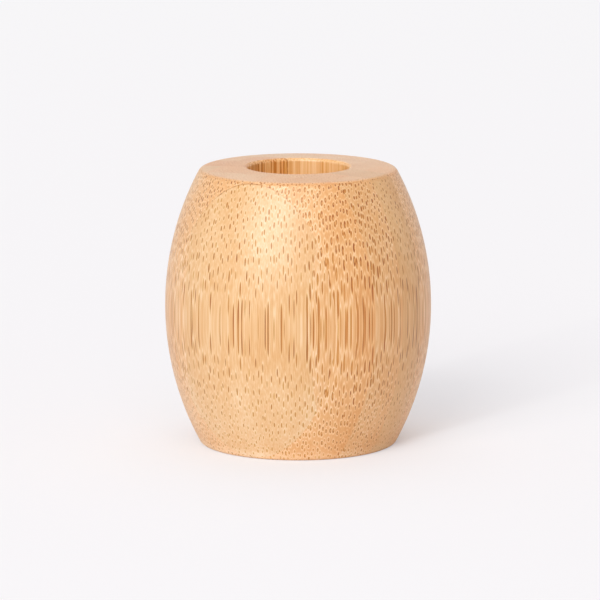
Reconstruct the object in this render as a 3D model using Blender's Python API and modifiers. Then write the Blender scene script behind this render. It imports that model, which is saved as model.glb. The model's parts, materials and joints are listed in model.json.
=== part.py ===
"""Toothbrush stand turned from a glue-laminated bamboo blank, with a bore right through it.

The model is made as the real object is. Planed bamboo strips are glued side by side into plies,
and the plies into a square blank. The blank is cut to length, bored, and turned to a barrel.
Every strip is its own piece: a length of planed strip, cut to the turned form.

Units are metres. +Z is up, the origin is at the middle of the base, and the plies face -Y and +Y.
"""
import math

import bpy

# The turned barrel.
MAX_DIAMETER = 0.0500
END_DIAMETER = 0.0367       # where the side would meet the ends with no rounding
HEIGHT = 0.0525             # to the top of the bore's lip
CROWN = 0.0004              # how far the domed top rises from the rim to the bore
RIM_ROUNDING = 0.0012
BASE_ROUNDING = 0.0006

# The bore that holds the brush handle.
BORE_DIAMETER = 0.0190
BORE_LIP_ROUNDING = 0.0007

# The laminated blank that the barrel is turned from.
PLIES = 8
STRIPS_ACROSS = 2           # strips side by side in a ply, each ply half a strip off the next
TURNING_ALLOWANCE = 0.0010  # wood outside the barrel on each face and end of the blank
GLUE_SHIFT = 0.00095        # the glue planes' distance behind the middle, from planing the blank
GLUE_LINE = 0.0001          # gap between neighbouring strips

# Facets.
TURNS = 96
SIDE_STEPS = 20
CROWN_STEPS = 3
ROUNDING_STEPS = 4
LIP_STEPS = 3

# A strip is paler or denser by how near it lay to the skin of the bamboo culm.
TONES = {
    "pale": (0.83, 0.60, 0.36, 1.0),
    "honey": (0.76, 0.50, 0.27, 1.0),
    "dense": (0.68, 0.42, 0.20, 1.0),
}
ROUGHNESS = 0.5

# The strips' tones, one row a ply from front to back, each from left to right.
PLY_TONES = (
    ("honey", "pale", "honey"),
    ("honey", "dense"),
    ("pale", "dense", "honey"),
    ("dense", "pale"),
    ("honey", "dense", "honey", "dense"),
    ("pale", "honey"),
    ("honey", "dense", "pale"),
    ("pale", "honey"),
)

BLANK_SIDE = MAX_DIAMETER + 2 * TURNING_ALLOWANCE
PLY_THICKNESS = BLANK_SIDE / PLIES
STRIP_WIDTH = BLANK_SIDE / STRIPS_ACROSS
BORE_RADIUS = BORE_DIAMETER / 2


def clear_scene():
    for obj in list(bpy.data.objects):
        bpy.data.objects.remove(obj, do_unlink=True)


def new_collection(name):
    collection = bpy.data.collections.new(name)
    bpy.context.scene.collection.children.link(collection)
    return collection


def move_to(obj, collection):
    for old in list(obj.users_collection):
        old.objects.unlink(obj)
    collection.objects.link(obj)


def arc(centre, radius, start, end, steps):
    """Points in the XZ plane from angle start to angle end, both included."""
    points = []
    for i in range(steps + 1):
        angle = start + (end - start) * i / steps
        points.append((centre[0] + radius * math.cos(angle), centre[1] + radius * math.sin(angle)))
    return points


def outer_meeting(centre_a, reach_a, centre_b, reach_b):
    """Of the two points that lie these distances from two centres, the one further out in X."""
    apart = math.dist(centre_a, centre_b)
    along = (apart ** 2 + reach_a ** 2 - reach_b ** 2) / (2 * apart)
    across = math.sqrt(reach_a ** 2 - along ** 2)
    x = (centre_b[0] - centre_a[0]) / apart
    z = (centre_b[1] - centre_a[1]) / apart
    foot = (centre_a[0] + x * along, centre_a[1] + z * along)
    return max((foot[0] + z * across, foot[1] - x * across), (foot[0] - z * across, foot[1] + x * across))


def direction(start, end):
    return math.atan2(end[1] - start[1], end[0] - start[0])


def barrel_outline():
    """The closed section of the barrel at +X: crown, rim, down its outer side, base and bore."""
    end_x = END_DIAMETER / 2
    rim_height = HEIGHT - CROWN
    lip_x = BORE_RADIUS + BORE_LIP_ROUNDING

    # The side is an arc that is widest halfway up to the rim.
    rise = rim_height / 2
    bulge = MAX_DIAMETER / 2 - end_x
    side_radius = (rise ** 2 + bulge ** 2) / (2 * bulge)
    side_centre = (MAX_DIAMETER / 2 - side_radius, rise)

    # The crown is an arc about a point on the axis, through the rim and the top of the lip.
    crown_drop = (end_x ** 2 - lip_x ** 2 - CROWN ** 2) / (2 * CROWN)
    crown_radius = math.hypot(end_x, crown_drop)
    crown_centre = (0.0, rim_height - crown_drop)

    # Each rounding touches the two surfaces it joins from inside.
    rim_centre = outer_meeting(side_centre, side_radius - RIM_ROUNDING,
                               crown_centre, crown_radius - RIM_ROUNDING)
    base_reach = side_radius - BASE_ROUNDING
    base_drop = rise - BASE_ROUNDING
    base_centre = (side_centre[0] + math.sqrt(base_reach ** 2 - base_drop ** 2), BASE_ROUNDING)
    lip_reach = crown_radius - BORE_LIP_ROUNDING
    lip_centre = (lip_x, crown_centre[1] + math.sqrt(lip_reach ** 2 - lip_x ** 2))

    left, down = math.pi, 3 * math.pi / 2
    lip_top = direction(crown_centre, lip_centre)
    rim_top = direction(crown_centre, rim_centre)
    rim_side = direction(side_centre, rim_centre)
    base_side = direction(side_centre, base_centre)

    crown = arc(crown_centre, crown_radius, lip_top, rim_top, CROWN_STEPS)
    rim = arc(rim_centre, RIM_ROUNDING, rim_top, rim_side, ROUNDING_STEPS)
    side = arc(side_centre, side_radius, rim_side, base_side, SIDE_STEPS)
    base = arc(base_centre, BASE_ROUNDING, base_side, down - 2 * math.pi, ROUNDING_STEPS)
    lower_lip = arc((lip_x, BORE_LIP_ROUNDING), BORE_LIP_ROUNDING, down, left, LIP_STEPS)
    upper_lip = arc(lip_centre, BORE_LIP_ROUNDING, left, lip_top, LIP_STEPS)

    # The roundings already hold the two ends of the crown and of the side.
    return crown[1:-1] + rim + side[1:-1] + base + lower_lip + upper_lip


def turned_barrel(collection):
    """The whole barrel as one turned solid, which every strip is cut to."""
    outline = barrel_outline()
    vertices = [(x, 0.0, z) for x, z in outline]
    edges = [(i, (i + 1) % len(outline)) for i in range(len(outline))]
    mesh = bpy.data.meshes.new("turned_barrel")
    mesh.from_pydata(vertices, edges, [])
    barrel = bpy.data.objects.new("turned_barrel", mesh)
    collection.objects.link(barrel)

    lathe = barrel.modifiers.new("lathe", "SCREW")
    lathe.axis = "Z"
    lathe.angle = 2 * math.pi
    lathe.steps = TURNS
    lathe.render_steps = TURNS
    lathe.use_smooth_shade = True
    lathe.use_merge_vertices = True
    lathe.merge_threshold = 0.000001
    barrel.hide_render = True
    barrel.display_type = "WIRE"
    return barrel


def ply_faces(ply):
    """Where a ply starts and ends along Y, from ply 1 in front to the last at the back."""
    edge = BLANK_SIDE / 2
    planes = [i * PLY_THICKNESS - edge + GLUE_SHIFT for i in range(PLIES + 1)]
    planes[0] = -edge
    planes[-1] = edge
    return planes[ply - 1], planes[ply]


def strips_of(ply):
    """Name and X range of each strip in a ply, from left to right as seen from the front."""
    edge = BLANK_SIDE / 2
    if ply % 2 == 0:
        return [("left", -edge, 0.0), ("right", 0.0, edge)]
    joint = STRIP_WIDTH / 2
    strips = [("left", -edge, -joint), ("middle", -joint, joint), ("right", joint, edge)]
    if max(abs(face) for face in ply_faces(ply)) < BORE_RADIUS:
        # The bore passes right through this ply and parts its middle strip in two.
        strips[1:2] = [("middle_left", -joint, 0.0), ("middle_right", 0.0, joint)]
    return strips


def bamboo(name, colour):
    material = bpy.data.materials.new(name)
    material.use_nodes = True
    material.diffuse_color = colour
    shader = material.node_tree.nodes["Principled BSDF"]
    shader.inputs["Base Color"].default_value = colour
    shader.inputs["Roughness"].default_value = ROUGHNESS
    shader.inputs["Metallic"].default_value = 0.0
    return material


def add_strip(name, x_range, y_range, barrel, collection):
    """A planed strip of the blank, half a glue line short on each face, cut to the barrel."""
    half_glue = GLUE_LINE / 2
    low = (x_range[0] + half_glue, y_range[0] + half_glue, -TURNING_ALLOWANCE)
    high = (x_range[1] - half_glue, y_range[1] - half_glue, HEIGHT + TURNING_ALLOWANCE)
    centre = [(a + b) / 2 for a, b in zip(low, high)]
    size = [b - a for a, b in zip(low, high)]

    bpy.ops.mesh.primitive_cube_add(size=1.0, location=centre)
    strip = bpy.context.object
    strip.name = name
    strip.data.name = name
    strip.scale = size
    bpy.ops.object.transform_apply(location=False, rotation=False, scale=True)
    move_to(strip, collection)

    turning = strip.modifiers.new("turning", "BOOLEAN")
    turning.operation = "INTERSECT"
    turning.solver = "EXACT"
    turning.object = barrel
    return strip


def build():
    clear_scene()
    parts = new_collection("toothbrush_holder")
    cutters = new_collection("cutters")
    barrel = turned_barrel(cutters)
    holder = bpy.data.objects.new("toothbrush_holder", None)
    parts.objects.link(holder)

    for ply in range(1, PLIES + 1):
        tones = PLY_TONES[(ply - 1) % len(PLY_TONES)]
        for place, (side, left, right) in enumerate(strips_of(ply)):
            strip = add_strip(f"ply_{ply}_{side}_strip", (left, right), ply_faces(ply), barrel, parts)
            tone = tones[place % len(tones)]
            strip.data.materials.append(bamboo(f"{strip.name}_{tone}_bamboo", TONES[tone]))
            strip.parent = holder


build()
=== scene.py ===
import json
import math
import random

import bmesh
import bpy
from bpy.props import FloatProperty, FloatVectorProperty, IntProperty, PointerProperty
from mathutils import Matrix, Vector


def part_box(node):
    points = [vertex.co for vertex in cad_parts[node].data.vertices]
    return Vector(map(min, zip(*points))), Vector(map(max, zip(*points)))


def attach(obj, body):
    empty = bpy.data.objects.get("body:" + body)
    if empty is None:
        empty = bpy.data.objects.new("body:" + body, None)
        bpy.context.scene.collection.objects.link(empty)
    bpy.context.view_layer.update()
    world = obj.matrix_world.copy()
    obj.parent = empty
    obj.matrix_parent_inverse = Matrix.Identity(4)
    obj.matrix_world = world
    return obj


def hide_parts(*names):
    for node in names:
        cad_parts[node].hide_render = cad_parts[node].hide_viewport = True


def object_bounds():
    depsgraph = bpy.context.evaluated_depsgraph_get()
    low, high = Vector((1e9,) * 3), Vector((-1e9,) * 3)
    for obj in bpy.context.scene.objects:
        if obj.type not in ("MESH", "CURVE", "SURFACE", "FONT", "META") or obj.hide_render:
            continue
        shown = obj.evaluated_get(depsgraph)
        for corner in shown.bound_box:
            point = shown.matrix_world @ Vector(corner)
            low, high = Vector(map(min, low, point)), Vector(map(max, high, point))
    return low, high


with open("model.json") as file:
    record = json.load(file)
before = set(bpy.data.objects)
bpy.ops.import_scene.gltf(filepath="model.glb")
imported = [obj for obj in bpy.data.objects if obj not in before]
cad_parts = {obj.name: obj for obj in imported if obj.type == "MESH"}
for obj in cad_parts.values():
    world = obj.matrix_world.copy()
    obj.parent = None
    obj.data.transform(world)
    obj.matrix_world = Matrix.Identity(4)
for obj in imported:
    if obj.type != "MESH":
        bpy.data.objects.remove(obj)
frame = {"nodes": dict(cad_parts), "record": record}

bl_info = {
    "name": "Bamboo Toothbrush Stand",
    "version": (1, 0, 0),
    "blender": (4, 5, 0),
    "location": "3D View > Sidebar > Toothbrush Stand",
    "description": "Builds a toothbrush stand turned from glued bamboo strips, ply by ply",
    "category": "Add Mesh",
}

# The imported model's box, before any new piece stands in for a node, and the least that it reaches
# from the axis to a side.
CAD_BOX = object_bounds()
CAD_REACH = min(-CAD_BOX[0].x, CAD_BOX[1].x, -CAD_BOX[0].y, CAD_BOX[1].y)

# Facets of the turned surface.
TURNS = 320
SIDE_STEPS = 96
CROWN_STEPS = 10
ROUNDING_STEPS = 10
SAME_POINT = 1e-7           # points nearer than this are one point
MOST_CORNERS = 4            # a face with more is cut into triangles


class StandSizes(bpy.types.PropertyGroup):
    """Sizes of the turned barrel, its bore and its glue lines."""

    max_diameter: FloatProperty(
        name="Greatest Diameter", description="Diameter at the widest point of the barrel",
        default=2 * CAD_REACH, precision=5, subtype="DISTANCE", unit="LENGTH")
    end_diameter: FloatProperty(
        name="End Diameter", description="Diameter where the side would meet the ends unrounded",
        default=0.0367, precision=5, subtype="DISTANCE", unit="LENGTH")
    height: FloatProperty(
        name="Height", description="Height from the base to the top of the bore's lip",
        default=CAD_BOX[1].z, precision=5, subtype="DISTANCE", unit="LENGTH")
    crown: FloatProperty(
        name="Crown", description="How far the domed top rises from the rim to the bore",
        default=0.0004, precision=5, subtype="DISTANCE", unit="LENGTH")
    rim_rounding: FloatProperty(
        name="Rim Rounding", description="Radius of the rounded upper edge",
        default=0.0012, precision=5, subtype="DISTANCE", unit="LENGTH")
    base_rounding: FloatProperty(
        name="Base Rounding", description="Radius of the rounded lower edge",
        default=0.0010, precision=5, subtype="DISTANCE", unit="LENGTH")
    bore_diameter: FloatProperty(
        name="Bore Diameter", description="Diameter of the hole for the brush handle",
        default=0.0190, precision=5, subtype="DISTANCE", unit="LENGTH")
    lip_rounding: FloatProperty(
        name="Bore Lip Rounding", description="Radius of the rounded edges of the bore",
        default=0.0007, precision=5, subtype="DISTANCE", unit="LENGTH")
    seam: FloatProperty(
        name="Seam", description="Clearance between two glued strips",
        default=0.00001, precision=6, subtype="DISTANCE", unit="LENGTH")
    glue_width: FloatProperty(
        name="Glue Width", description="How far the glue colours the wood beside a seam",
        default=0.00007, precision=6, subtype="DISTANCE", unit="LENGTH")


class BambooColours(bpy.types.PropertyGroup):
    """Ground colours of the wood, and the stains that its fibres, end grain and glue lay on it.

    A stain is what it leaves of white at full strength, and it deepens with its amount.
    """

    pale: FloatVectorProperty(
        name="Pale Bamboo", description="Ground colour of the palest strips",
        default=(0.914, 0.704, 0.489), size=3, min=0, max=1, subtype="COLOR")
    honey: FloatVectorProperty(
        name="Honey Bamboo", description="Ground colour of the middle tone",
        default=(0.924, 0.651, 0.415), size=3, min=0, max=1, subtype="COLOR")
    dense: FloatVectorProperty(
        name="Dense Bamboo", description="Ground colour of the strips with most fibre",
        default=(0.929, 0.603, 0.336), size=3, min=0, max=1, subtype="COLOR")
    # The bore's ground is partly the bored wall's own tone and partly painted light that lifts the shade
    # inside the bore.
    bore: FloatVectorProperty(
        name="Bored Wood", description="Ground colour that the wall of the bore leans to",
        default=(1.0, 0.60, 0.25), size=3, min=0, max=1, subtype="COLOR")
    mark: FloatVectorProperty(
        name="Fibre Mark", description="Stain of the cut fibre bundles",
        default=(0.47, 0.24, 0.030), size=3, min=0, max=1, subtype="COLOR")
    warm: FloatVectorProperty(
        name="Warm Streak", description="Stain of the warm streaks between the bundles",
        default=(0.80, 0.58, 0.34), size=3, min=0, max=1, subtype="COLOR")
    end_grain: FloatVectorProperty(
        name="End Grain", description="Stain of the wood cut square to its fibres",
        default=(0.935, 0.92, 0.965), size=3, min=0, max=1, subtype="COLOR")
    glue: FloatVectorProperty(
        name="Glue Line", description="Stain of the wood beside a glue line",
        default=(0.45, 0.27, 0.12), size=3, min=0, max=1, subtype="COLOR")


class StudioSettings(bpy.types.PropertyGroup):
    """The floor, the lamps and the camera."""

    floor_colour: FloatVectorProperty(
        name="Floor", description="Colour of the floor",
        default=(0.947, 0.927, 0.942), size=3, min=0, max=1, subtype="COLOR")
    backdrop_colour: FloatVectorProperty(
        name="Backdrop", description="Colour of the floor far from the stand",
        default=(1.0, 0.995, 1.0), size=3, min=0, max=1, subtype="COLOR")
    surround: FloatVectorProperty(
        name="Surround", description="Colour of the light that comes from all around",
        default=(0.96, 0.97, 1.0), size=3, min=0, max=1, subtype="COLOR")
    surround_strength: FloatProperty(
        name="Surround Strength", description="Strength of the light from all around",
        default=0.44, min=0.0)
    key_power: FloatProperty(
        name="Key Lamp", description="Power of the lamp at the upper left",
        default=74.0, min=0.0, subtype="POWER", unit="POWER")
    front_power: FloatProperty(
        name="Front Lamp", description="Power of the wide lamp in front",
        default=35.5, min=0.0, subtype="POWER", unit="POWER")
    top_power: FloatProperty(
        name="Top Lamp", description="Power of the wide lamp overhead",
        default=31.0, min=0.0, subtype="POWER", unit="POWER")
    camera_azimuth: FloatProperty(
        name="Camera Azimuth", description="How far right of the front the camera stands",
        default=math.radians(26.2), subtype="ANGLE", unit="ROTATION")
    camera_distance: FloatProperty(
        name="Camera Distance", description="Level distance from the axis to the camera",
        default=0.9545, precision=4, subtype="DISTANCE", unit="LENGTH")
    camera_height: FloatProperty(
        name="Camera Height", description="Height of the camera above the floor",
        default=0.20156, precision=4, subtype="DISTANCE", unit="LENGTH")
    focal_length: FloatProperty(
        name="Focal Length", description="Focal length of the camera in millimetres",
        default=309.7, min=1.0)


# The tones of bamboo, with lengths in metres. Across and deep are the spacing of the fibre bundles
# along a ply and through its thickness, width and thickness are half a bundle's, and turn is its
# angle to the ply in degrees. Core is how pale a bundle's middle is, halo how pale the wood round
# it, strength how dark it is, streak what is left of that where the surface runs along it, and
# bored how dark the fibre lines in the bore are.
BUNDLES = {
    "pale": {"across": 0.00092, "deep": 0.00064, "width": 0.00014, "thickness": 0.00018, "turn": 26.0,
             "core": 0.1, "halo": 0.30, "strength": 1.05, "streak": 1.05, "bored": 0.2},
    "honey": {"across": 0.00080, "deep": 0.00050, "width": 0.00016, "thickness": 0.00018, "turn": 12.0,
              "core": 0.4, "halo": 0.58, "strength": 1.27, "streak": 0.75, "bored": 0.25},
    "dense": {"across": 0.00088, "deep": 0.00057, "width": 0.00019, "thickness": 0.00022, "turn": 0.0,
              "core": 0.9, "halo": 0.72, "strength": 1.30, "streak": 0.56, "bored": 1.1},
}

# One row for each ply from front to back, with its strips from left to right: whether a strip has
# the culm's inner face in front, and how much more of the warm stain it has than all strips have,
# at its front and at its back.
INNER_FACE_IN_FRONT = (
    (False, False, False),
    (False, True),
    (True, True, True),
    (False, False),
    (True, True, True, True),
    (False, False),
    (True, True, True),
    (False, False),
)
MORE_WARMTH = (
    ((-0.20, -0.12), (-0.13, 0.06), (-0.10, 0.04)),
    ((-0.06, 0.00), (0.02, 0.17)),
    ((0.00, 0.10), (0.19, 0.19), (0.15, 0.14)),
    ((0.45, 0.40), (0.27, 0.37)),
    ((0.20, 0.10), (0.35, 0.35), (0.10, 0.10), (0.15, 0.10)),
    ((-0.05, 0.00), (0.05, 0.00)),
    ((0.00, 0.05), (0.08, 0.00), (-0.05, 0.05)),
    ((0.05, 0.00), (0.00, 0.05)),
)
WARMTH = 0.41               # the warm stain that all strips have

# How strongly the glue shows between a ply and the next behind it, from the front.
GLUE_SHOWS = (0.7, 0.1, 0.1, 0.1, 0.6, 0.1, 0.1)
JOINT_SHOWS = 0.1           # how strongly it shows between strips side by side
FAR = 1.0                   # where a strip has no neighbour, its seam is put this far away


def lay_up():
    """The strips' node names, one list a ply from front to back, each from left to right."""
    plies = {}
    for name in frame["nodes"]:
        number = int(name.split("_")[1])
        plies.setdefault(number, []).append(name)
    return [sorted(plies[number], key=lambda name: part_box(name)[0].x) for number in sorted(plies)]


def seam_between(lower, higher, axis):
    """The middle of the glue line between two neighbouring strips, or None with no neighbour."""
    if lower is None or higher is None:
        return None
    return (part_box(lower)[1][axis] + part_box(higher)[0][axis]) / 2


def seams_of(ply, place):
    """A strip's left, right, front and back seams, each None where it reaches the outside."""
    plies = lay_up()
    row = plies[ply]
    before = row[place - 1] if place > 0 else None
    after = row[place + 1] if place + 1 < len(row) else None
    in_front = plies[ply - 1][0] if ply > 0 else None
    behind = plies[ply + 1][0] if ply + 1 < len(plies) else None
    strip = row[place]
    return {
        "left": seam_between(before, strip, 0),
        "right": seam_between(strip, after, 0),
        "front": seam_between(in_front, strip, 1),
        "back": seam_between(strip, behind, 1),
    }


def add_object(name, data):
    """A new object in the scene, at the origin."""
    obj = bpy.data.objects.new(name, data)
    bpy.context.scene.collection.objects.link(obj)
    return obj


def arc(centre, radius, start, end, steps):
    """Points in the XZ plane from angle start to angle end, both included."""
    points = []
    for i in range(steps + 1):
        angle = start + (end - start) * i / steps
        points.append((centre[0] + radius * math.cos(angle), centre[1] + radius * math.sin(angle)))
    return points


def outer_meeting(centre_a, reach_a, centre_b, reach_b):
    """Of the two points that lie these distances from two centres, the one further out in X."""
    apart = math.dist(centre_a, centre_b)
    along = (apart ** 2 + reach_a ** 2 - reach_b ** 2) / (2 * apart)
    across = math.sqrt(reach_a ** 2 - along ** 2)
    x = (centre_b[0] - centre_a[0]) / apart
    z = (centre_b[1] - centre_a[1]) / apart
    foot = (centre_a[0] + x * along, centre_a[1] + z * along)
    return max((foot[0] + z * across, foot[1] - x * across), (foot[0] - z * across, foot[1] + x * across))


def direction(start, end):
    """The angle in the XZ plane from one point to another."""
    return math.atan2(end[1] - start[1], end[0] - start[0])


def barrel_outline(sizes):
    """The closed section of the barrel at +X: crown, rim, down its outer side, base and bore."""
    end_x = sizes.end_diameter / 2
    rim_height = sizes.height - sizes.crown
    lip_x = sizes.bore_diameter / 2 + sizes.lip_rounding

    # The side is an arc that is widest halfway up to the rim.
    rise = rim_height / 2
    bulge = sizes.max_diameter / 2 - end_x
    side_radius = (rise ** 2 + bulge ** 2) / (2 * bulge)
    side_centre = (sizes.max_diameter / 2 - side_radius, rise)

    # The crown is an arc about a point on the axis, through the rim and the top of the lip.
    crown_drop = (end_x ** 2 - lip_x ** 2 - sizes.crown ** 2) / (2 * sizes.crown)
    crown_radius = math.hypot(end_x, crown_drop)
    crown_centre = (0.0, rim_height - crown_drop)

    # Each rounding touches the two surfaces it joins from inside.
    rim_centre = outer_meeting(side_centre, side_radius - sizes.rim_rounding,
                               crown_centre, crown_radius - sizes.rim_rounding)
    base_reach = side_radius - sizes.base_rounding
    base_drop = rise - sizes.base_rounding
    base_x = side_centre[0] + math.sqrt(base_reach ** 2 - base_drop ** 2)
    base_centre = (base_x, sizes.base_rounding)
    lip_reach = crown_radius - sizes.lip_rounding
    upper_lip_centre = (lip_x, crown_centre[1] + math.sqrt(lip_reach ** 2 - lip_x ** 2))
    lower_lip_centre = (lip_x, sizes.lip_rounding)

    left, down = math.pi, 3 * math.pi / 2
    lip_top = direction(crown_centre, upper_lip_centre)
    rim_top = direction(crown_centre, rim_centre)
    rim_side = direction(side_centre, rim_centre)
    base_side = direction(side_centre, base_centre)

    crown = arc(crown_centre, crown_radius, lip_top, rim_top, CROWN_STEPS)
    rim = arc(rim_centre, sizes.rim_rounding, rim_top, rim_side, ROUNDING_STEPS)
    side = arc(side_centre, side_radius, rim_side, base_side, SIDE_STEPS)
    base = arc(base_centre, sizes.base_rounding, base_side, down - 2 * math.pi, ROUNDING_STEPS)
    lower_lip = arc(lower_lip_centre, sizes.lip_rounding, down, left, ROUNDING_STEPS)
    upper_lip = arc(upper_lip_centre, sizes.lip_rounding, left, lip_top, ROUNDING_STEPS)

    # The roundings already hold the two ends of the crown and of the side.
    return crown[1:-1] + rim + side[1:-1] + base + lower_lip + upper_lip


def turned_barrel(sizes):
    """The whole barrel as one bmesh, its outline turned once round the axis."""
    outline = bmesh.new()
    points = [outline.verts.new((x, 0.0, z)) for x, z in barrel_outline(sizes)]
    for start, end in zip(points, points[1:] + points[:1]):
        outline.edges.new((start, end))
    mesh = bpy.data.meshes.new("outline")
    outline.to_mesh(mesh)
    outline.free()

    turned = add_object("turned", mesh)
    lathe = turned.modifiers.new("lathe", "SCREW")
    lathe.axis = "Z"
    lathe.angle = 2 * math.pi
    lathe.steps = TURNS
    lathe.render_steps = TURNS
    lathe.use_smooth_shade = True
    lathe.use_merge_vertices = True
    lathe.merge_threshold = SAME_POINT
    barrel = bmesh.new()
    barrel.from_object(turned, bpy.context.evaluated_depsgraph_get())
    bmesh.ops.recalc_face_normals(barrel, faces=barrel.faces)

    # The object goes with its mesh.
    bpy.data.meshes.remove(mesh)
    return barrel


def saw_along(strip, point, outward):
    """Cuts away what lies beyond a plane, closes the cut and keeps its edges crisp."""
    geometry = strip.verts[:] + strip.edges[:] + strip.faces[:]
    cut = bmesh.ops.bisect_plane(strip, geom=geometry, dist=SAME_POINT, plane_co=point,
                                 plane_no=outward, clear_outer=True)
    rim = [item for item in cut["geom_cut"] if isinstance(item, bmesh.types.BMEdge)]
    closed = bmesh.ops.edgeloop_fill(strip, edges=rim)
    for face in closed["faces"]:
        face.smooth = False
        for edge in face.edges:
            edge.smooth = False


def turned_strip(name, sizes, barrel, seams):
    """One strip of the blank, cut to the turned barrel, as a new object at the origin."""
    half_seam = sizes.seam / 2
    strip = barrel.copy()
    cuts = (
        (seams["left"], Vector((-1, 0, 0))),
        (seams["right"], Vector((1, 0, 0))),
        (seams["front"], Vector((0, -1, 0))),
        (seams["back"], Vector((0, 1, 0))),
    )
    for seam, outward in cuts:
        if seam is not None:
            axis = Vector((abs(outward.x), abs(outward.y), 0))
            saw_along(strip, axis * seam - outward * half_seam, outward)
    large = [face for face in strip.faces if len(face.verts) > MOST_CORNERS]
    bmesh.ops.triangulate(strip, faces=large)
    bmesh.ops.recalc_face_normals(strip, faces=strip.faces)
    if any(not edge.is_manifold for edge in strip.edges):
        raise RuntimeError(f"{name} isn't closed")

    mesh = bpy.data.meshes.new(name)
    strip.to_mesh(mesh)
    strip.free()
    return add_object(name, mesh)


def add_node(tree, kind, **settings):
    """A new node with its settings."""
    node = tree.nodes.new(kind)
    for name, value in settings.items():
        setattr(node, name, value)
    return node


def feed(tree, value, socket):
    """Links an output to a socket, or writes a plain value in it."""
    if isinstance(value, bpy.types.NodeSocket):
        tree.links.new(value, socket)
    else:
        socket.default_value = value


def feed_all(tree, values, sockets):
    """Feeds each value to the socket in its place."""
    for value, socket in zip(values, sockets):
        feed(tree, value, socket)


def calculate(tree, operation, *values):
    """One step of arithmetic with numbers."""
    node = add_node(tree, "ShaderNodeMath", operation=operation)
    feed_all(tree, values, node.inputs)
    return node.outputs["Value"]


def product(tree, first, *others):
    """Numbers multiplied, from the first on."""
    for other in others:
        first = calculate(tree, "MULTIPLY", first, other)
    return first


def rest_of(tree, part):
    """What a part leaves of one."""
    return calculate(tree, "SUBTRACT", 1.0, part)


def vector_math(tree, operation, *values):
    """One step of arithmetic with vectors."""
    node = add_node(tree, "ShaderNodeVectorMath", operation=operation)
    feed_all(tree, values, node.inputs)
    return node.outputs["Value" if operation in {"LENGTH", "DOT_PRODUCT"} else "Vector"]


def combine(tree, x, y, z):
    """A vector from its three parts."""
    node = add_node(tree, "ShaderNodeCombineXYZ")
    feed_all(tree, (x, y, z), node.inputs)
    return node.outputs["Vector"]


def separate(tree, vector):
    """A vector's three parts, by the names of the axes."""
    node = add_node(tree, "ShaderNodeSeparateXYZ")
    feed(tree, vector, node.inputs["Vector"])
    return node.outputs


def mapping(tree, vector, kind, **values):
    """A vector that is scaled, turned and moved."""
    node = add_node(tree, "ShaderNodeMapping", vector_type=kind)
    feed(tree, vector, node.inputs["Vector"])
    for label, value in values.items():
        feed(tree, value, node.inputs[label.title()])
    return node.outputs["Vector"]


def blend(tree, factor, first, second, mode="MIX"):
    """Two colours mixed."""
    node = add_node(tree, "ShaderNodeMix", data_type="RGBA", blend_type=mode)
    feed(tree, factor, node.inputs[0])

    # The sockets for numbers and vectors have the same names and come before those for colours.
    feed_all(tree, (first, second), node.inputs[6:8])
    return node.outputs[2]


def stain(tree, colour, tint, amount):
    """Deepens a colour by a stain: the tint at an amount of one, its square at two."""
    depth = add_node(tree, "ShaderNodeGamma")
    feed(tree, (*tint, 1.0), depth.inputs["Color"])
    feed(tree, amount, depth.inputs["Gamma"])
    return blend(tree, 1.0, colour, depth.outputs["Color"], mode="MULTIPLY")


def ramp(tree, value, low, high, to_low=0.0, to_high=1.0, smooth=True):
    """Carries a value from one range to another, held at both ends."""
    kind = "SMOOTHSTEP" if smooth else "LINEAR"
    node = add_node(tree, "ShaderNodeMapRange", interpolation_type=kind)
    feed_all(tree, (value, low, high, to_low, to_high), node.inputs)
    return node.outputs[0]


def fall(tree, value, low, high):
    """A mask that is full up to the lower value and ends at the higher one."""
    return ramp(tree, value, low, high, 1.0, 0.0)


def between(tree, mask, none, full):
    """A number that goes evenly from one value to another as a mask goes from 0 to 1."""
    return ramp(tree, mask, 0, 1, none, full, smooth=False)


def noise(tree, position, scale, detail=1.0):
    """Fractal noise, its scale given for each axis."""
    node = add_node(tree, "ShaderNodeTexNoise", noise_dimensions="3D")
    feed(tree, vector_math(tree, "MULTIPLY", position, scale), node.inputs["Vector"])
    node.inputs["Scale"].default_value = 1.0
    node.inputs["Detail"].default_value = detail
    return node.outputs


def new_group(name, vectors, numbers, results):
    """An empty shader node group with named sockets, what it is given and what it puts out."""
    group = bpy.data.node_groups.new(name, "ShaderNodeTree")
    for label in vectors:
        group.interface.new_socket(name=label, in_out="INPUT", socket_type="NodeSocketVector")
    for label in numbers:
        group.interface.new_socket(name=label, in_out="INPUT", socket_type="NodeSocketFloat")
    for label in results:
        group.interface.new_socket(name=label, in_out="OUTPUT", socket_type="NodeSocketFloat")
    return group, group.nodes.new("NodeGroupInput").outputs, group.nodes.new("NodeGroupOutput").inputs


def shared_group(name, make):
    """The node group of that name, made the first time it is asked for."""
    return bpy.data.node_groups.get(name) or make()


def place_group(tree, group, **values):
    """Puts a group in a material with its own values, and returns its outputs."""
    node = add_node(tree, "ShaderNodeGroup", node_tree=group)
    for label, value in values.items():
        feed(tree, value, node.inputs[label.replace("_", " ").title()])
    return node.outputs


def new_material(name):
    """A material, with its node tree and its shader."""
    material = bpy.data.materials.new(name)
    material.use_nodes = True
    tree = material.node_tree
    return material, tree, tree.nodes["Principled BSDF"]


LEVEL = (1.0, 1.0, 0.0)             # leaves a vector's level part when it is multiplied by this
MIDDLE = (0.5, 0.5, 0.5)            # the middle of the range of a random colour

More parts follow.
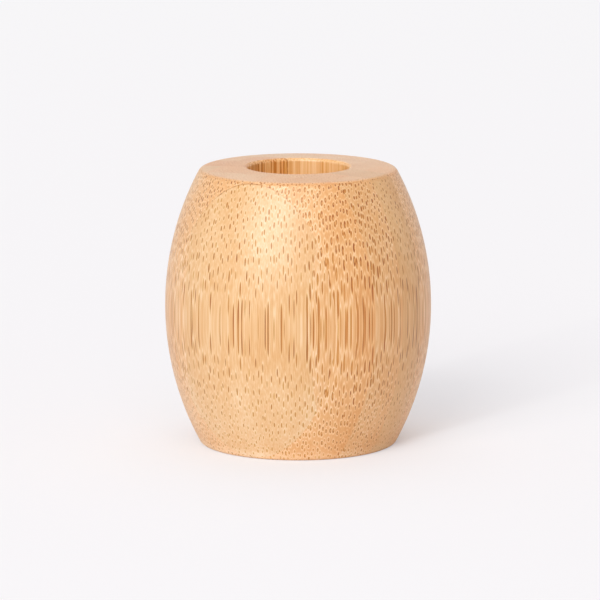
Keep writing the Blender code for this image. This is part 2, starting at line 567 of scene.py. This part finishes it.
# The fibre bundles. By bundle goes from one end of their range to the other, and by depth from the
# culm's inner face to its skin. An edge fades between two reaches, in parts of a bundle's half
# width: the core's from the core's own middle, the others from the bundle's.
ROW_TURN = math.radians(45)
UNEVEN_ROWS = 0.65
WANDER_SCALE = (300.0, 300.0, 12.0)
WANDER = (0.0004, 0.0004, 0.0)      # the width that a bundle wanders over, in metres
SIZE_BY_BUNDLE = (0.75, 1.25)
SIZE_BY_DEPTH = (1.12, 0.88)
DARKNESS_BY_BUNDLE = (0.6, 1.0)
DARKNESS_BY_DEPTH = (0.75, 1.0)
CORE_SPREAD = (0.8, 0.8, 0.0)       # the width that the cores' middles are spread over
CORE_EDGE = (0.25, 0.7)
SHEATH_EDGE = (0.65, 1.15)
HALO_EDGE = (1.0, 2.2)
FAINT_SCALE = (50.0, 50.0, 120.0)
FAINT_NOISE = (0.3, 0.6)            # noise below the first makes a bundle faint, above the second not
FAINT = 0.45                        # the darkness of a bundle where it is faint


def bundles_group():
    """Fibre bundles: ovals in cross-section, in staggered rows, that run the height of a strip.

    The turned surface cuts them to dots near the ends and to long streaks round the middle.
    """
    group, given, result = new_group(
        "fibre_bundles", vectors=("Position", "Shift"),
        numbers=("Across", "Deep", "Width", "Thickness", "Turn", "Core", "Inner Face", "Skin Face"),
        results=("Marks", "Halo", "Skin"))
    place = separate(group, given["Position"])

    # A bundle wanders a little along its length.
    wander = noise(group, given["Position"], WANDER_SCALE)["Color"]
    wander = vector_math(group, "SUBTRACT", wander, MIDDLE)
    wander = vector_math(group, "MULTIPLY", wander, WANDER)
    moved = vector_math(group, "ADD", given["Position"], wander)

    # A square lattice that stands on its corners is staggered rows. The bundles of a row lie a
    # square's diagonal apart, and the rows half of it.
    scale = combine(group, calculate(group, "DIVIDE", math.sqrt(2), given["Across"]),
                    calculate(group, "DIVIDE", math.sqrt(0.5), given["Deep"]), 1.0)
    lattice = mapping(group, moved, "POINT", location=given["Shift"], rotation=(0, 0, ROW_TURN),
                      scale=scale)
    cells = add_node(group, "ShaderNodeTexVoronoi", voronoi_dimensions="2D")
    feed(group, lattice, cells.inputs["Vector"])
    cells.inputs["Scale"].default_value = 1.0
    cells.inputs["Randomness"].default_value = UNEVEN_ROWS
    chance = add_node(group, "ShaderNodeSeparateColor")
    feed(group, cells.outputs["Color"], chance.inputs["Color"])
    first_chance, second_chance = chance.outputs["Red"], chance.outputs["Green"]

    # From the middle of the nearest bundle, in parts of its half width and half thickness.
    away = vector_math(group, "SUBTRACT", lattice, cells.outputs["Position"])
    away = vector_math(group, "MULTIPLY", away, LEVEL)
    away = mapping(group, away, "VECTOR", rotation=(0, 0, -ROW_TURN))
    away = vector_math(group, "DIVIDE", away, scale)
    away = mapping(group, away, "VECTOR", rotation=combine(group, 0.0, 0.0, given["Turn"]))
    away = vector_math(group, "DIVIDE", away, combine(group, given["Width"], given["Thickness"], 1.0))
    skin = ramp(group, place["Y"], given["Inner Face"], given["Skin Face"], smooth=False)
    size = product(group, between(group, first_chance, *SIZE_BY_BUNDLE), between(group, skin, *SIZE_BY_DEPTH))
    away = vector_math(group, "DIVIDE", away, combine(group, size, size, 1.0))
    reach = vector_math(group, "LENGTH", away)

    # The dark sheath of a bundle is thicker on one side of its paler core.
    core_place = vector_math(group, "SUBTRACT", cells.outputs["Color"], MIDDLE)
    core_place = vector_math(group, "MULTIPLY", core_place, CORE_SPREAD)
    from_core = vector_math(group, "LENGTH", vector_math(group, "SUBTRACT", away, core_place))
    core = product(group, fall(group, from_core, *CORE_EDGE), given["Core"])
    body = fall(group, reach, *SHEATH_EDGE)
    marks = product(group, body, rest_of(group, core))

    # It is faint in places along its length.
    along = combine(group, first_chance, second_chance, place["Z"])
    faint = ramp(group, noise(group, along, FAINT_SCALE)["Fac"], *FAINT_NOISE, FAINT, 1.0)
    darkness = product(group, between(group, second_chance, *DARKNESS_BY_BUNDLE),
                       between(group, skin, *DARKNESS_BY_DEPTH), faint)
    feed(group, product(group, marks, darkness), result["Marks"])
    feed(group, product(group, fall(group, reach, *HALO_EDGE), rest_of(group, body)), result["Halo"])
    feed(group, skin, result["Skin"])
    return group


# The fine fibre, the warm streaks and the drift of tone: the scale of each across the wood and
# along it, and how many levels of finer noise lie on it.
FIBRE_NOISE = (
    ("Fibres", 4600.0, 50.0, 2.0),
    ("Streaks", 2200.0, 30.0, 2.0),
    ("Drift", 170.0, 60.0, 1.0),
)
FIBRE_CONTRAST = (0.3, 0.7)         # noise at the first shows nothing, at the second all


def fibres_group():
    """Fine fibre between the bundles, as streaks that change slowly along the wood."""
    group, given, result = new_group(
        "fine_fibres", vectors=("Position", "Shift"), numbers=(), results=("Fibres", "Streaks", "Drift"))
    place = vector_math(group, "ADD", given["Position"], given["Shift"])
    for label, across, along, detail in FIBRE_NOISE:
        value = noise(group, place, (across, across, along), detail)["Fac"]
        feed(group, ramp(group, value, *FIBRE_CONTRAST), result[label])
    return group


GLUE_FULL = 0.5                     # the part of its width in which a glue line is at full strength
GLUE_SCALE = (900.0, 900.0, 900.0)
GLUE_NOISE = (0.38, 0.55)           # noise below the first makes the glue thin, above the second not
THIN_GLUE = 0.35                    # how much of a line shows where its glue is thin
CLOSE_JOINT = (-0.002, 0.005)       # from the first X to the second the planed faces meet closer
CLOSE_JOINT_GLUE = 0.25             # how much of a line shows where they do


def glue_group():
    """A thin line of glue along each seam of a strip, as strong as it shows there."""
    group, given, result = new_group(
        "glue_line", vectors=("Position",),
        numbers=("Left", "Right", "Front", "Back", "Width", "Joint Shows", "Front Shows", "Back Shows"),
        results=("Line",))
    place = separate(group, given["Position"])
    full = product(group, given["Width"], GLUE_FULL)
    lines = 0.0
    for axis, seam, shows in (("X", "Left", "Joint Shows"), ("X", "Right", "Joint Shows"),
                              ("Y", "Front", "Front Shows"), ("Y", "Back", "Back Shows")):
        away = calculate(group, "ABSOLUTE", calculate(group, "SUBTRACT", place[axis], given[seam]))
        line = product(group, fall(group, away, full, given["Width"]), given[shows])
        lines = calculate(group, "MAXIMUM", lines, line)
    thin = ramp(group, noise(group, given["Position"], GLUE_SCALE)["Fac"], *GLUE_NOISE, THIN_GLUE, 1.0)
    close = ramp(group, place["X"], *CLOSE_JOINT, 1.0, CLOSE_JOINT_GLUE)
    feed(group, product(group, lines, thin, close), result["Line"])
    return group


# Between which two values each stretch of the surface starts or ends. A lean is 0 on an upright
# wall and 1 on a level face. A height is in parts of the stand's height, and a reach into the
# bore's lip in parts of its rounding, from the bore's wall.
BELT_LEANS = (0.03, 0.25)
STREAKED_LEANS = (0.03, 0.35)
SHOULDER_LEANS = (0.38, 0.44)
RIM_LEANS = (0.46, 0.70)
END_GRAIN_LEANS = (0.80, 0.97)
FOOT_HEIGHTS = (0.1, 0.45)
# The lowest edge is made paler here: painted light for light bounced up from the floor.
TOE_PAINTED_LIGHT_HEIGHTS = (0.01, 0.045)
LIP_REACHES = (0.3, 1.0)
LEAST_STREAKED = 0.62               # how much of the streaks shows beyond their leans


def surface_masks(tree, position, normal, sizes):
    """Masks for the stretches of the surface.

    The belt runs along the fibres and the end grain square to them, with the shoulder and the rim
    between. The foot is the lower part of the stand. Its lowest edge is where painted light stands in
    for light bounced up from the floor. Streaked is how much of the fine fibre and the streaks shows.
    """
    upward = separate(tree, normal)["Z"]
    height = separate(tree, position)["Z"]
    lean = calculate(tree, "ABSOLUTE", upward)
    from_axis = vector_math(tree, "LENGTH", vector_math(tree, "MULTIPLY", position, LEVEL))
    bore_edge = [sizes.bore_diameter / 2 + reach * sizes.lip_rounding for reach in LIP_REACHES]
    end_grain = ramp(tree, lean, *END_GRAIN_LEANS)
    return {
        "belt": fall(tree, lean, *BELT_LEANS),
        "streaked": ramp(tree, lean, *STREAKED_LEANS, 1.0, LEAST_STREAKED),
        "shoulder": ramp(tree, upward, *SHOULDER_LEANS),
        "rim": calculate(tree, "SUBTRACT", ramp(tree, lean, *RIM_LEANS), end_grain),
        "end_grain": end_grain,
        "foot": fall(tree, height, *[part * sizes.height for part in FOOT_HEIGHTS]),
        "toe_painted_light": fall(tree, height, *[part * sizes.height for part in TOE_PAINTED_LIGHT_HEIGHTS]),
        "in_bore": fall(tree, from_axis, *bore_edge),
    }


# The bundles' size at the foot, and their width and cores at the belt, against those elsewhere.
FOOT_SIZE = 0.85
BELT_WIDTH = 1.1
BELT_CORE = 0.3


def strip_figure(tree, position, shift, masks, bundles, inner_face, skin_face):
    """A strip's fibre bundles, slimmer at the foot and wider round the middle."""
    slim = between(tree, masks["foot"], 1.0, FOOT_SIZE)
    wide = between(tree, masks["belt"], 1.0, BELT_WIDTH)
    return place_group(
        tree, shared_group("fibre_bundles", bundles_group), position=position, shift=shift,
        across=bundles["across"], deep=bundles["deep"],
        width=product(tree, slim, wide, bundles["width"]),
        thickness=product(tree, slim, bundles["thickness"]),
        turn=-math.radians(bundles["turn"]),
        core=between(tree, masks["belt"], bundles["core"], BELT_CORE * bundles["core"]),
        inner_face=inner_face, skin_face=skin_face)


def glue_amount(tree, position, masks, seams, ply, sizes):
    """How much glue shows: on the shoulder and in the bore, but not on the end grain."""
    ends = {side: FAR if seam is None else seam for side, seam in seams.items()}
    line = place_group(
        tree, shared_group("glue_line", glue_group), position=position, width=sizes.glue_width,
        joint_shows=JOINT_SHOWS, front_shows=GLUE_SHOWS[ply - 1] if ply > 0 else 0.0,
        back_shows=GLUE_SHOWS[ply] if ply < len(GLUE_SHOWS) else 0.0, **ends)
    shown = calculate(tree, "MAXIMUM", masks["shoulder"], masks["in_bore"])
    shown = calculate(tree, "SUBTRACT", shown, masks["end_grain"])
    return product(tree, line["Line"], calculate(tree, "MAXIMUM", shown, 0.0))


# How much of the fibre marks is left on a stretch of the surface.
MARKS_LEFT = {"end_grain": 0.42, "in_bore": 0.15, "foot": 0.75}
BORED_FIBRES = (0.3, 0.85)          # fine fibre between which a dark line in the bore deepens
BORED_MARKS = 0.5                   # how much such a line adds to the fibre marks

# How much each adds to the warm stain. Less of it at the front of the foot and at the lowest edge is
# painted light, standing in for light bounced up from the floor. The foot's part is whole in front
# of the first of its two front depths and ends at the second, both in parts of the barrel's radius.
WARMTH_ADDED = {"streaks": 0.3, "fibres": 0.5, "bored": 0.25, "drift": 0.25, "rim": 0.3,
                # Less warm stain in the bore is partly painted light that lifts the shade inside it.
                "in_bore": -0.68, "foot": -0.27, "toe_painted_light": -0.45}
FOOT_PAINTED_LIGHT_FRONT = (-0.75, -0.4)


def warm_amount(tree, depth, sides, warmth, masks, radius):
    """How much warm stain a strip has, from its front to its back and by what shows there, less where painted
    light is laid on.
    """
    warm = ramp(tree, depth, *sides, *[WARMTH + more for more in warmth], smooth=False)
    # Painted light: the front of the foot is made paler, standing in for light bounced up from the floor.
    front = [part * radius for part in FOOT_PAINTED_LIGHT_FRONT]
    painted_light_at_foot = ramp(tree, depth, *front, WARMTH_ADDED["foot"], 0.0)
    for part, amount in {**WARMTH_ADDED, "foot": painted_light_at_foot}.items():
        warm = calculate(tree, "ADD", warm, product(tree, masks[part], amount))
    return warm


SEEDS_A_PLY = 10                    # more than the strips in any ply, so each has its own seed
PATTERN_SPREAD = 50.0               # how far a strip's pattern is moved at most, so that none match
TONE_BY_DEPTH = (0.75, 1.0)         # how much of its tone a strip has, from inner face to skin
# In the bore the ground is partly its own tone and partly painted light against the shade inside it.
BORE_TONE_AND_PAINTED_LIGHT = 0.7                     # how far the ground colour leans to the bore's there
ROUGHNESS_BY_FIBRE = (0.30, 0.40)   # from between the fine fibres to on them
SPECULAR = 0.75
FIBRE_RELIEF = 0.3                  # how high the fine fibre stands against the depth of a mark
RELIEF_STRENGTH = 0.25
RELIEF_DEPTH = 0.00012


def bamboo_finish(name, slot, ply, place, colours, sizes):
    """The finish of one strip: its ground tone, fibre bundles, fine fibres and glue lines."""
    tone = slot.split("_")[0]
    bundles = BUNDLES[tone]
    seams = seams_of(ply, place)
    chance = random.Random(SEEDS_A_PLY * (ply + 1) + place)
    shift = Vector([chance.uniform(-PATTERN_SPREAD, PATTERN_SPREAD) for _ in range(3)])

    material, tree, shader = new_material(name)
    coordinates = add_node(tree, "ShaderNodeTexCoord").outputs
    position = coordinates["Object"]
    masks = surface_masks(tree, position, coordinates["Normal"], sizes)

    radius = sizes.max_diameter / 2
    front = -radius if seams["front"] is None else seams["front"]
    back = radius if seams["back"] is None else seams["back"]
    inner_face, skin_face = (front, back) if INNER_FACE_IN_FRONT[ply][place] else (back, front)
    figure = strip_figure(tree, position, shift, masks, bundles, inner_face, skin_face)
    fibres = place_group(tree, shared_group("fine_fibres", fibres_group), position=position, shift=shift)
    glue = glue_amount(tree, position, masks, seams, ply, sizes)

    marks = product(tree, figure["Marks"], bundles["strength"])
    for stretch, left in {**MARKS_LEFT, "belt": bundles["streak"]}.items():
        marks = product(tree, marks, between(tree, masks[stretch], 1.0, left))
    bored = ramp(tree, fibres["Fibres"], *BORED_FIBRES, 0.0, bundles["bored"])
    masks["bored"] = product(tree, bored, masks["in_bore"])
    marks = calculate(tree, "ADD", marks, product(tree, masks["bored"], BORED_MARKS))

    masks["streaks"] = product(tree, fibres["Streaks"], masks["streaked"])
    masks["fibres"] = product(tree, fibres["Fibres"], masks["streaked"])
    masks["drift"] = fibres["Drift"]
    depth = separate(tree, position)["Y"]
    warm = warm_amount(tree, depth, (front, back), MORE_WARMTH[ply][place], masks, radius)
    warm = calculate(tree, "SUBTRACT", warm, product(tree, figure["Halo"], bundles["halo"]))
    warm = calculate(tree, "MAXIMUM", warm, 0.0)

    toned = between(tree, figure["Skin"], *TONE_BY_DEPTH)
    ground = blend(tree, toned, (*colours.pale, 1.0), (*getattr(colours, tone), 1.0))
    # The bore's ground: partly the wall's own tone, partly painted light that lifts the shade inside the
    # bore.
    ground = blend(tree, product(tree, masks["in_bore"], BORE_TONE_AND_PAINTED_LIGHT), ground, (*colours.bore, 1.0))
    colour = stain(tree, ground, colours.warm, warm)
    colour = stain(tree, colour, colours.end_grain, masks["end_grain"])
    colour = stain(tree, colour, colours.mark, marks)
    colour = stain(tree, colour, colours.glue, glue)
    feed(tree, colour, shader.inputs["Base Color"])

    feed(tree, between(tree, fibres["Fibres"], *ROUGHNESS_BY_FIBRE), shader.inputs["Roughness"])
    shader.inputs["Specular IOR Level"].default_value = SPECULAR
    relief = calculate(tree, "SUBTRACT", product(tree, fibres["Fibres"], FIBRE_RELIEF), marks)
    bump = add_node(tree, "ShaderNodeBump")
    bump.inputs["Strength"].default_value = RELIEF_STRENGTH
    bump.inputs["Distance"].default_value = RELIEF_DEPTH
    feed(tree, relief, bump.inputs["Height"])
    feed(tree, bump.outputs["Normal"], shader.inputs["Normal"])
    return material


class TOOTHBRUSH_STAND_OT_turn_ply(bpy.types.Operator):
    """Turns the strips of one ply and gives each its bamboo finish"""

    bl_idname = "toothbrush_stand.turn_ply"
    bl_label = "Turn Ply"
    bl_options = {"REGISTER", "UNDO"}

    ply: IntProperty(name="Ply", description="Number of the ply, from the front", default=1, min=1)

    def execute(self, context):
        scene = context.scene
        sizes, colours = scene.stand_sizes, scene.bamboo_colours
        slots = {part["node"]: part["material_slot"] for part in frame["record"]["subparts"]}
        ply = self.ply - 1
        barrel = turned_barrel(sizes)
        for place, node in enumerate(lay_up()[ply]):
            name = node.replace("_strip", "_bamboo")
            piece = turned_strip(name, sizes, barrel, seams_of(ply, place))
            piece.data.materials.append(bamboo_finish(name, slots[node], ply, place, colours, sizes))
            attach(piece, "root")
            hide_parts(node)
        barrel.free()
        return {"FINISHED"}


# The lamps. An azimuth is from the camera's direction, negative to its left, and angles are in
# degrees. Each points at the middle of the stand.
LAMPS = {
    "key": {"azimuth": -27, "elevation": 31, "distance": 4.0, "size": 2.4, "colour": (1.0, 0.98, 0.96)},
    "top": {"azimuth": 180, "elevation": 68, "distance": 3.5, "size": 3.0, "colour": (0.97, 0.98, 1.0)},
    "front": {"azimuth": -8, "elevation": 42, "distance": 3.5, "size": 3.0, "colour": (1.0, 0.99, 0.98)},
}
SURROUND_SEEN = 0.95                # how bright the camera and reflections see the surround

FLOOR_SIZE = 8.0
FLOOR_FADE = (0.1, 1.2)             # from where to where the floor turns to the backdrop's colour
# Painted light on the floor: the camera sees part of the floor's colour as its own light, which lifts the
# shadow, least in a painted shadow core beside the stand.
FLOOR_PAINTED_GLOW = 0.55                   # the part of the floor's colour that the camera sees as light
PAINTED_SHADOW_GLOW = 0.24                   # the same in the core of the shadow
SHADOW_TURN = math.radians(34)      # how far right of straight back the shadow falls

# The painted shadow core on the floor: between which two distances it ends at its sides, starts
# near the axis and thins out further on, and what is left of it beyond.
PAINTED_SHADOW_SIDES = (0.015, 0.021)
PAINTED_SHADOW_START = (-0.002, 0.010)
PAINTED_SHADOW_END = (0.020, 0.080)
PAINTED_SHADOW_LEFT = 0.5

# The point that the camera looks at: its height, and how far right of the axis it lies.
AIM_HEIGHT = 0.02697
AIM_SIDE = 0.00035
SENSOR = 36.0                       # width of the camera's sensor in millimetres
FARTHEST_SEEN = 20.0                # how far the camera sees, in metres


def point_along(obj, heading):
    """Turns a lamp or a camera to look along a vector, its top up."""
    obj.rotation_euler = heading.to_track_quat("-Z", "Y").to_euler()


def studio_lamp(name, studio, azimuth, elevation, distance, size, colour):
    """A square area lamp that points at the middle of the stand."""
    light = bpy.data.lights.new(name, "AREA")
    light.shape = "SQUARE"
    light.size = size
    light.energy = getattr(studio, f"{name}_power")
    light.color = colour
    bearing = studio.camera_azimuth + math.radians(azimuth)
    climb = math.radians(elevation)
    away = Vector((math.sin(bearing) * math.cos(climb), -math.cos(bearing) * math.cos(climb),
                   math.sin(climb)))
    target = Vector((0, 0, (CAD_BOX[0].z + CAD_BOX[1].z) / 2))
    lamp = add_object(name, light)
    lamp.location = target + away * distance
    point_along(lamp, -away)


def surround_light(studio):
    """Even light from all around, which the camera and reflections see as nearly white."""
    world = bpy.data.worlds.new("surround")
    bpy.context.scene.world = world
    world.use_nodes = True
    tree = world.node_tree
    background = tree.nodes["Background"]
    background.inputs["Color"].default_value = (*studio.surround, 1.0)
    rays = add_node(tree, "ShaderNodeLightPath").outputs
    seen = calculate(tree, "MAXIMUM", rays["Is Camera Ray"], rays["Is Glossy Ray"])
    seen = calculate(tree, "MAXIMUM", seen, rays["Is Transmission Ray"])
    strength = between(tree, seen, studio.surround_strength, SURROUND_SEEN)
    feed(tree, strength, background.inputs["Strength"])


def painted_shadow_core(tree, place, studio):
    """A painted shadow: a mask for where the floor's painted light is weakest, so that the key lamp's shadow
    keeps a dark core beside the stand.
    """
    away = studio.camera_azimuth - SHADOW_TURN
    along = vector_math(tree, "DOT_PRODUCT", place, (-math.sin(away), math.cos(away), 0.0))
    across = vector_math(tree, "DOT_PRODUCT", place, (math.cos(away), math.sin(away), 0.0))
    sides = fall(tree, calculate(tree, "ABSOLUTE", across), *PAINTED_SHADOW_SIDES)
    end = ramp(tree, along, *PAINTED_SHADOW_END, 1.0, PAINTED_SHADOW_LEFT)
    return product(tree, sides, ramp(tree, along, *PAINTED_SHADOW_START), end)


def floor_finish(studio):
    """The floor's finish: the camera sees a part of its colour as painted light of the floor's own.

    That softens the shadow, but least in a painted shadow core.
    """
    material, tree, shader = new_material("pale_floor")
    shader.inputs["Roughness"].default_value = 1.0
    shader.inputs["Specular IOR Level"].default_value = 0.0
    place = add_node(tree, "ShaderNodeTexCoord").outputs["Object"]
    far = ramp(tree, vector_math(tree, "LENGTH", place), *FLOOR_FADE, smooth=False)
    colour = blend(tree, far, (*studio.floor_colour, 1.0), (*studio.backdrop_colour, 1.0))

    # Painted light, seen by the camera only, and weaker in the painted shadow core.
    seen = add_node(tree, "ShaderNodeLightPath").outputs["Is Camera Ray"]
    painted_glow = product(tree, seen, between(tree, painted_shadow_core(tree, place, studio), FLOOR_PAINTED_GLOW, PAINTED_SHADOW_GLOW))
    lit = rest_of(tree, painted_glow)
    lit_colour = blend(tree, 1.0, colour, combine(tree, lit, lit, lit), mode="MULTIPLY")
    feed(tree, lit_colour, shader.inputs["Base Color"])
    feed(tree, colour, shader.inputs["Emission Color"])
    feed(tree, painted_glow, shader.inputs["Emission Strength"])
    return material


def studio_floor(studio):
    """A plain pale floor under the stand."""
    mesh = bpy.data.meshes.new("floor")
    shape = bmesh.new()
    bmesh.ops.create_grid(shape, x_segments=1, y_segments=1, size=FLOOR_SIZE / 2)
    shape.to_mesh(mesh)
    shape.free()
    mesh.materials.append(floor_finish(studio))
    return add_object("floor", mesh)


def studio_camera(studio):
    """The camera, a little above the stand and to the right of its front."""
    optics = bpy.data.cameras.new("camera")
    optics.sensor_width = SENSOR
    optics.lens = studio.focal_length
    optics.clip_end = FARTHEST_SEEN
    camera = add_object("camera", optics)
    sine, cosine = math.sin(studio.camera_azimuth), math.cos(studio.camera_azimuth)
    distance = studio.camera_distance
    camera.location = (sine * distance, -cosine * distance, studio.camera_height)
    aim = Vector((cosine * AIM_SIDE, sine * AIM_SIDE, AIM_HEIGHT))
    point_along(camera, aim - camera.location)
    bpy.context.scene.camera = camera


class TOOTHBRUSH_STAND_OT_set_stage(bpy.types.Operator):
    """Sets up the floor, the lamps and the camera"""

    bl_idname = "toothbrush_stand.set_stage"
    bl_label = "Set Stage"
    bl_options = {"REGISTER", "UNDO"}

    def execute(self, context):
        studio = context.scene.studio_settings
        studio_floor(studio)
        surround_light(studio)
        for name, setting in LAMPS.items():
            studio_lamp(name, studio, **setting)
        studio_camera(studio)
        context.scene.view_settings.view_transform = "Standard"
        return {"FINISHED"}


class TOOTHBRUSH_STAND_PT_pieces(bpy.types.Panel):
    """Lists the steps that build the stand"""

    bl_label = "Toothbrush Stand"
    bl_idname = "TOOTHBRUSH_STAND_PT_pieces"
    bl_space_type = "VIEW_3D"
    bl_region_type = "UI"
    bl_category = "Toothbrush Stand"

    def draw(self, context):
        layout = self.layout
        for ply in range(1, len(lay_up()) + 1):
            step = layout.operator(TOOTHBRUSH_STAND_OT_turn_ply.bl_idname, text=f"Turn Ply {ply}")
            step.ply = ply
        layout.operator(TOOTHBRUSH_STAND_OT_set_stage.bl_idname)
        scene = context.scene
        for group in (scene.stand_sizes, scene.bamboo_colours, scene.studio_settings):
            box = layout.box()
            for label in group.__annotations__:
                box.prop(group, label)


CLASSES = (StandSizes, BambooColours, StudioSettings, TOOTHBRUSH_STAND_OT_turn_ply,
           TOOTHBRUSH_STAND_OT_set_stage, TOOTHBRUSH_STAND_PT_pieces)


def register():
    for cls in CLASSES:
        bpy.utils.register_class(cls)
    bpy.types.Scene.stand_sizes = PointerProperty(type=StandSizes)
    bpy.types.Scene.bamboo_colours = PointerProperty(type=BambooColours)
    bpy.types.Scene.studio_settings = PointerProperty(type=StudioSettings)


def unregister():
    del bpy.types.Scene.studio_settings
    del bpy.types.Scene.bamboo_colours
    del bpy.types.Scene.stand_sizes
    for cls in reversed(CLASSES):
        bpy.utils.unregister_class(cls)


def main():
    register()
    bpy.ops.toothbrush_stand.set_stage()
    for ply in range(1, len(lay_up()) + 1):
        bpy.ops.toothbrush_stand.turn_ply(ply=ply)


if __name__ == "__main__":
    main()
